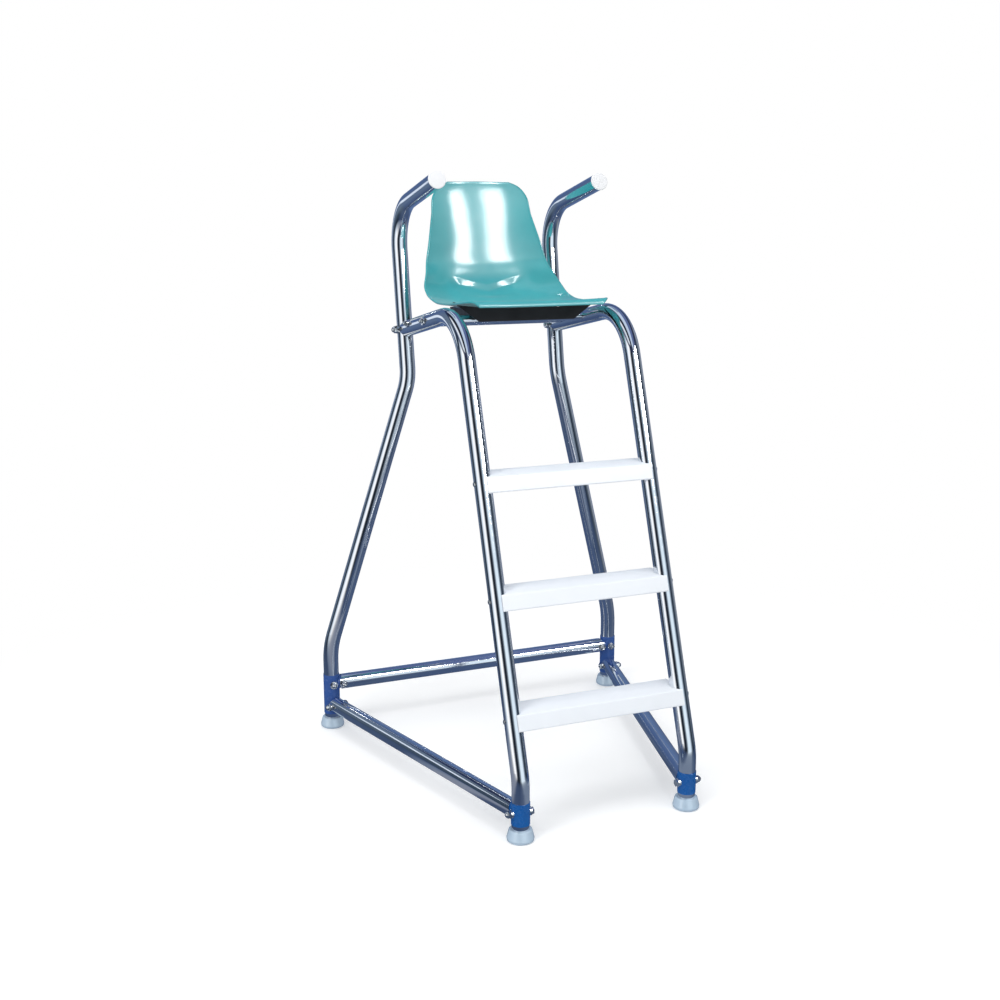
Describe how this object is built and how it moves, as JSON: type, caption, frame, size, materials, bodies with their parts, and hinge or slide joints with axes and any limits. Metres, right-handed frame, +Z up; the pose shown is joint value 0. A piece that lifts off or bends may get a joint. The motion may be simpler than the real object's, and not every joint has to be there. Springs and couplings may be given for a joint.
{
  "type": "lifeguard chair",
  "caption": "Tall bent tube lifeguard chair with climbing treads, a moulded bucket seat, high grips and bolted low braces.",
  "frame": {"origin": "on the floor at the centre of the four feet, which is the middle of the base of the bounding box", "axes": "+Z up, +Y the way a climber faces, from the front rails to the rear uprights, +X to the climber's right"},
  "size_m": [1.075, 1.035, 1.7435],
  "materials": {
    "tube": "polished stainless tube",
    "hardware": "bright bolts, nuts and washers",
    "insert": "turned tube inserts, out of sight",
    "bracket": "black channels and apron under the seat",
    "sleeve": "blue sleeves on the legs",
    "tread": "white moulded treads",
    "seat": "glossy teal moulding",
    "foot": "pale moulded foot tips",
    "plug": "white end plugs",
    "pad": "black pads between channels and seat"
  },
  "bodies": {
    "root": {"front_rail_left": "tube", "front_rail_right": "tube", "rear_upright_left": "tube", "rear_upright_right": "tube", "side_tube_left": "tube", "side_tube_right": "tube", "rear_cross_tube": "tube", "seat_bar_front": "tube", "seat_bar_rear": "tube", "joint_bolts": "hardware", "joint_nuts": "hardware", "joint_washers": "hardware", "tread_bolts": "hardware", "tread_nuts": "hardware", "seat_bolts": "hardware", "tube_inserts": "insert", "seat_riser_left": "bracket", "seat_riser_right": "bracket", "seat_apron": "bracket", "leg_sleeve_front_left": "sleeve", "leg_sleeve_front_right": "sleeve", "leg_sleeve_rear_left": "sleeve", "leg_sleeve_rear_right": "sleeve", "tread_lower": "tread", "tread_middle": "tread", "tread_upper": "tread", "seat_shell": "seat", "foot_tip_front_left": "foot", "foot_tip_front_right": "foot", "foot_tip_rear_left": "foot", "foot_tip_rear_right": "foot", "grip_plug_left": "plug", "grip_plug_right": "plug", "seat_pads": "pad"}
  },
  "joints": []
}
